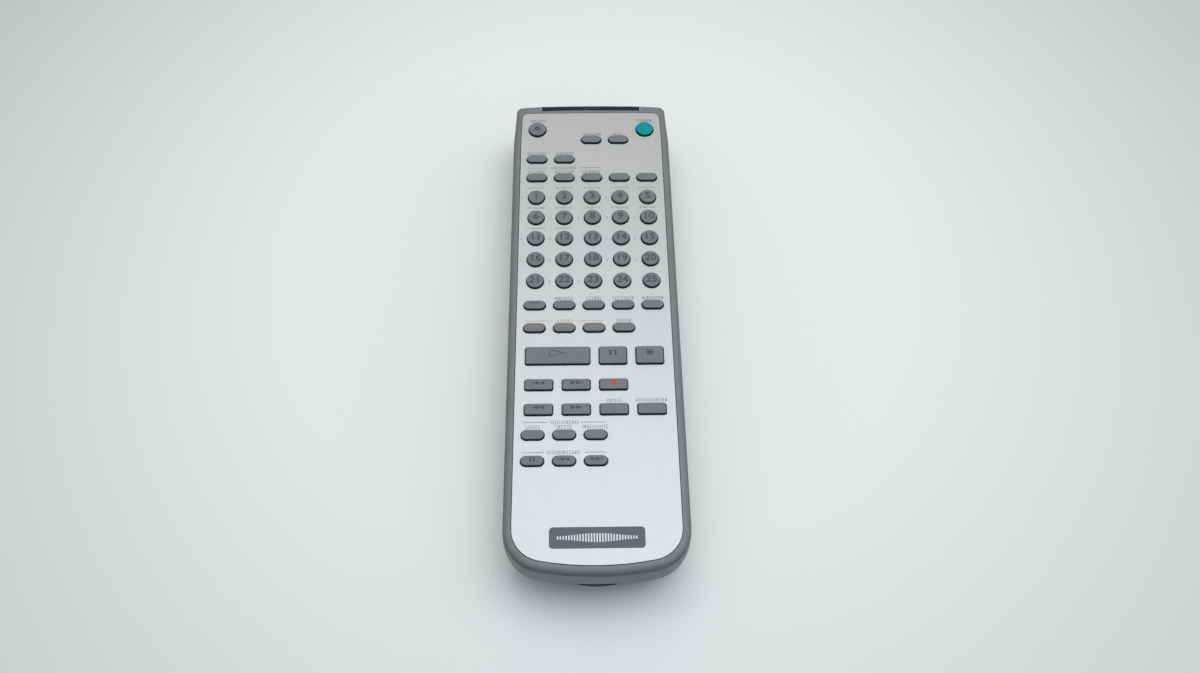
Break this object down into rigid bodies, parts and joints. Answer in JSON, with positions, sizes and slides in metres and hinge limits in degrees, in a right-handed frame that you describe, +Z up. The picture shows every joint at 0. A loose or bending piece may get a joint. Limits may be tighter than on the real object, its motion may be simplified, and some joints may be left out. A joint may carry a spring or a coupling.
{
  "type": "infrared remote control",
  "caption": "Slim hand-held infrared remote control with a silver face panel, grey moulded case, numbered round keys, transport keys and a hinged battery cover.",
  "frame": {"origin": "on the resting surface, under the middle of the body's length and width", "axes": "+X to the right seen from the near end with the keys up, +Y along the length towards the infrared window, +Z up out of the key face"},
  "size_m": [0.0556, 0.1766, 0.0234],
  "materials": {
    "case_grey": "fine matt grain, mid grey",
    "panel_silver": "satin silver paint with dark grey printing",
    "window_dark": "dark teal, glossy",
    "mat_rubber": "matt moulded rubber",
    "board": "satin board laminate",
    "cell_skin": "plain unprinted sleeve",
    "contact_metal": "nickel plated",
    "emitter": "clear blue-grey resin",
    "chip_black": "moulded package",
    "ceramic": "dipped ceramic",
    "capacitor_sleeve": "shrink sleeve",
    "resistor_body": "lacquered",
    "screw_metal": "zinc plated",
    "key_grey": "satin grey, moulded",
    "key_teal": "satin teal, moulded"
  },
  "bodies": {
    "case": {"lower_case": "case_grey", "upper_case": "case_grey", "face_panel": "panel_silver", "ir_window": "window_dark", "keypad_mat": "mat_rubber", "circuit_board": "board", "cell_left": "cell_skin", "cell_right": "cell_skin", "spring_contact": "contact_metal", "plate_contact": "contact_metal", "link_contact": "contact_metal", "ir_emitter": "emitter", "controller_chip": "chip_black", "resonator": "ceramic", "capacitor": "capacitor_sleeve", "transistor": "chip_black", "resistors": "resistor_body", "case_screws": "screw_metal"},
    "battery_cover": {"battery_cover": "case_grey"},
    "key_eject": {"key_eject": "key_grey"},
    "key_power": {"key_power": "key_teal"},
    "key_play": {"key_play": "key_grey"},
    "key_pause": {"key_pause": "key_grey"},
    "key_stop": {"key_stop": "key_grey"},
    "key_skip_back": {"key_skip_back": "key_grey"},
    "key_skip_forward": {"key_skip_forward": "key_grey"},
    "key_record": {"key_record": "key_grey"},
    "key_rewind": {"key_rewind": "key_grey"},
    "key_fast_forward": {"key_fast_forward": "key_grey"},
    "key_wide_3": {"key_wide_3": "key_grey"},
    "key_wide_4": {"key_wide_4": "key_grey"},
    "keys_1_to_5": {"keys_1_to_5": "key_grey"},
    "keys_6_to_10": {"keys_6_to_10": "key_grey"},
    "keys_11_to_15": {"keys_11_to_15": "key_grey"},
    "keys_16_to_20": {"keys_16_to_20": "key_grey"},
    "keys_21_to_25": {"keys_21_to_25": "key_grey"},
    "key_a3": {"key_a3": "key_grey"},
    "key_a4": {"key_a4": "key_grey"},
    "key_b1": {"key_b1": "key_grey"},
    "key_b2": {"key_b2": "key_grey"},
    "key_c1": {"key_c1": "key_grey"},
    "key_c2": {"key_c2": "key_grey"},
    "key_c3": {"key_c3": "key_grey"},
    "key_c4": {"key_c4": "key_grey"},
    "key_c5": {"key_c5": "key_grey"},
    "key_d1": {"key_d1": "key_grey"},
    "key_d2": {"key_d2": "key_grey"},
    "key_d3": {"key_d3": "key_grey"},
    "key_d4": {"key_d4": "key_grey"},
    "key_d5": {"key_d5": "key_grey"},
    "key_e1": {"key_e1": "key_grey"},
    "key_e2": {"key_e2": "key_grey"},
    "key_e3": {"key_e3": "key_grey"},
    "key_e4": {"key_e4": "key_grey"},
    "key_f1": {"key_f1": "key_grey"},
    "key_f2": {"key_f2": "key_grey"},
    "key_f3": {"key_f3": "key_grey"},
    "key_g1": {"key_g1": "key_grey"},
    "key_g2": {"key_g2": "key_grey"},
    "key_g3": {"key_g3": "key_grey"}
  },
  "joints": [
    {"name": "battery_cover_hinge", "type": "hinge", "parent": "case", "child": "battery_cover", "pos_m": [0, -0.0128, 0], "axis": [1, 0, 0], "range_deg": [0, 60]},
    {"name": "key_eject_press", "type": "slide", "parent": "case", "child": "key_eject", "axis": [0, 0, -1], "range_m": [0, 0.00095], "stiffness_N_per_m": 500, "springref_m": -0.0008},
    {"name": "key_power_press", "type": "slide", "parent": "case", "child": "key_power", "axis": [0, 0, -1], "range_m": [0, 0.00095], "stiffness_N_per_m": 500, "springref_m": -0.0008},
    {"name": "key_play_press", "type": "slide", "parent": "case", "child": "key_play", "axis": [0, 0, -1], "range_m": [0, 0.00095], "stiffness_N_per_m": 700, "springref_m": -0.0008},
    {"name": "key_pause_press", "type": "slide", "parent": "case", "child": "key_pause", "axis": [0, 0, -1], "range_m": [0, 0.00095], "stiffness_N_per_m": 500, "springref_m": -0.0008},
    {"name": "key_stop_press", "type": "slide", "parent": "case", "child": "key_stop", "axis": [0, 0, -1], "range_m": [0, 0.00095], "stiffness_N_per_m": 500, "springref_m": -0.0008},
    {"name": "key_skip_back_press", "type": "slide", "parent": "case", "child": "key_skip_back", "axis": [0, 0, -1], "range_m": [0, 0.00095], "stiffness_N_per_m": 500, "springref_m": -0.0008},
    {"name": "key_skip_forward_press", "type": "slide", "parent": "case", "child": "key_skip_forward", "axis": [0, 0, -1], "range_m": [0, 0.00095], "stiffness_N_per_m": 500, "springref_m": -0.0008},
    {"name": "key_record_press", "type": "slide", "parent": "case", "child": "key_record", "axis": [0, 0, -1], "range_m": [0, 0.00095], "stiffness_N_per_m": 500, "springref_m": -0.0008},
    {"name": "key_rewind_press", "type": "slide", "parent": "case", "child": "key_rewind", "axis": [0, 0, -1], "range_m": [0, 0.00095], "stiffness_N_per_m": 500, "springref_m": -0.0008},
    {"name": "key_fast_forward_press", "type": "slide", "parent": "case", "child": "key_fast_forward", "axis": [0, 0, -1], "range_m": [0, 0.00095], "stiffness_N_per_m": 500, "springref_m": -0.0008},
    {"name": "key_wide_3_press", "type": "slide", "parent": "case", "child": "key_wide_3", "axis": [0, 0, -1], "range_m": [0, 0.00095], "stiffness_N_per_m": 500, "springref_m": -0.0008},
    {"name": "key_wide_4_press", "type": "slide", "parent": "case", "child": "key_wide_4", "axis": [0, 0, -1], "range_m": [0, 0.00095], "stiffness_N_per_m": 500, "springref_m": -0.0008},
    {"name": "keys_1_to_5_press", "type": "slide", "parent": "case", "child": "keys_1_to_5", "axis": [0, 0, -1], "range_m": [0, 0.00095], "stiffness_N_per_m": 2500, "springref_m": -0.0008},
    {"name": "keys_6_to_10_press", "type": "slide", "parent": "case", "child": "keys_6_to_10", "axis": [0, 0, -1], "range_m": [0, 0.00095], "stiffness_N_per_m": 2500, "springref_m": -0.0008},
    {"name": "keys_11_to_15_press", "type": "slide", "parent": "case", "child": "keys_11_to_15", "axis": [0, 0, -1], "range_m": [0, 0.00095], "stiffness_N_per_m": 2500, "springref_m": -0.0008},
    {"name": "keys_16_to_20_press", "type": "slide", "parent": "case", "child": "keys_16_to_20", "axis": [0, 0, -1], "range_m": [0, 0.00095], "stiffness_N_per_m": 2500, "springref_m": -0.0008},
    {"name": "keys_21_to_25_press", "type": "slide", "parent": "case", "child": "keys_21_to_25", "axis": [0, 0, -1], "range_m": [0, 0.00095], "stiffness_N_per_m": 2500, "springref_m": -0.0008},
    {"name": "key_a3_press", "type": "slide", "parent": "case", "child": "key_a3", "axis": [0, 0, -1], "range_m": [0, 0.00095], "stiffness_N_per_m": 500, "springref_m": -0.0008},
    {"name": "key_a4_press", "type": "slide", "parent": "case", "child": "key_a4", "axis": [0, 0, -1], "range_m": [0, 0.00095], "stiffness_N_per_m": 500, "springref_m": -0.0008},
    {"name": "key_b1_press", "type": "slide", "parent": "case", "child": "key_b1", "axis": [0, 0, -1], "range_m": [0, 0.00095], "stiffness_N_per_m": 500, "springref_m": -0.0008},
    {"name": "key_b2_press", "type": "slide", "parent": "case", "child": "key_b2", "axis": [0, 0, -1], "range_m": [0, 0.00095], "stiffness_N_per_m": 500, "springref_m": -0.0008},
    {"name": "key_c1_press", "type": "slide", "parent": "case", "child": "key_c1", "axis": [0, 0, -1], "range_m": [0, 0.00095], "stiffness_N_per_m": 500, "springref_m": -0.0008},
    {"name": "key_c2_press", "type": "slide", "parent": "case", "child": "key_c2", "axis": [0, 0, -1], "range_m": [0, 0.00095], "stiffness_N_per_m": 500, "springref_m": -0.0008},
    {"name": "key_c3_press", "type": "slide", "parent": "case", "child": "key_c3", "axis": [0, 0, -1], "range_m": [0, 0.00095], "stiffness_N_per_m": 500, "springref_m": -0.0008},
    {"name": "key_c4_press", "type": "slide", "parent": "case", "child": "key_c4", "axis": [0, 0, -1], "range_m": [0, 0.00095], "stiffness_N_per_m": 500, "springref_m": -0.0008},
    {"name": "key_c5_press", "type": "slide", "parent": "case", "child": "key_c5", "axis": [0, 0, -1], "range_m": [0, 0.00095], "stiffness_N_per_m": 500, "springref_m": -0.0008},
    {"name": "key_d1_press", "type": "slide", "parent": "case", "child": "key_d1", "axis": [0, 0, -1], "range_m": [0, 0.00095], "stiffness_N_per_m": 500, "springref_m": -0.0008},
    {"name": "key_d2_press", "type": "slide", "parent": "case", "child": "key_d2", "axis": [0, 0, -1], "range_m": [0, 0.00095], "stiffness_N_per_m": 500, "springref_m": -0.0008},
    {"name": "key_d3_press", "type": "slide", "parent": "case", "child": "key_d3", "axis": [0, 0, -1], "range_m": [0, 0.00095], "stiffness_N_per_m": 500, "springref_m": -0.0008},
    {"name": "key_d4_press", "type": "slide", "parent": "case", "child": "key_d4", "axis": [0, 0, -1], "range_m": [0, 0.00095], "stiffness_N_per_m": 500, "springref_m": -0.0008},
    {"name": "key_d5_press", "type": "slide", "parent": "case", "child": "key_d5", "axis": [0, 0, -1], "range_m": [0, 0.00095], "stiffness_N_per_m": 500, "springref_m": -0.0008},
    {"name": "key_e1_press", "type": "slide", "parent": "case", "child": "key_e1", "axis": [0, 0, -1], "range_m": [0, 0.00095], "stiffness_N_per_m": 500, "springref_m": -0.0008},
    {"name": "key_e2_press", "type": "slide", "parent": "case", "child": "key_e2", "axis": [0, 0, -1], "range_m": [0, 0.00095], "stiffness_N_per_m": 500, "springref_m": -0.0008},
    {"name": "key_e3_press", "type": "slide", "parent": "case", "child": "key_e3", "axis": [0, 0, -1], "range_m": [0, 0.00095], "stiffness_N_per_m": 500, "springref_m": -0.0008},
    {"name": "key_e4_press", "type": "slide", "parent": "case", "child": "key_e4", "axis": [0, 0, -1], "range_m": [0, 0.00095], "stiffness_N_per_m": 500, "springref_m": -0.0008},
    {"name": "key_f1_press", "type": "slide", "parent": "case", "child": "key_f1", "axis": [0, 0, -1], "range_m": [0, 0.00095], "stiffness_N_per_m": 500, "springref_m": -0.0008},
    {"name": "key_f2_press", "type": "slide", "parent": "case", "child": "key_f2", "axis": [0, 0, -1], "range_m": [0, 0.00095], "stiffness_N_per_m": 500, "springref_m": -0.0008},
    {"name": "key_f3_press", "type": "slide", "parent": "case", "child": "key_f3", "axis": [0, 0, -1], "range_m": [0, 0.00095], "stiffness_N_per_m": 500, "springref_m": -0.0008},
    {"name": "key_g1_press", "type": "slide", "parent": "case", "child": "key_g1", "axis": [0, 0, -1], "range_m": [0, 0.00095], "stiffness_N_per_m": 500, "springref_m": -0.0008},
    {"name": "key_g2_press", "type": "slide", "parent": "case", "child": "key_g2", "axis": [0, 0, -1], "range_m": [0, 0.00095], "stiffness_N_per_m": 500, "springref_m": -0.0008},
    {"name": "key_g3_press", "type": "slide", "parent": "case", "child": "key_g3", "axis": [0, 0, -1], "range_m": [0, 0.00095], "stiffness_N_per_m": 500, "springref_m": -0.0008}
  ]
}
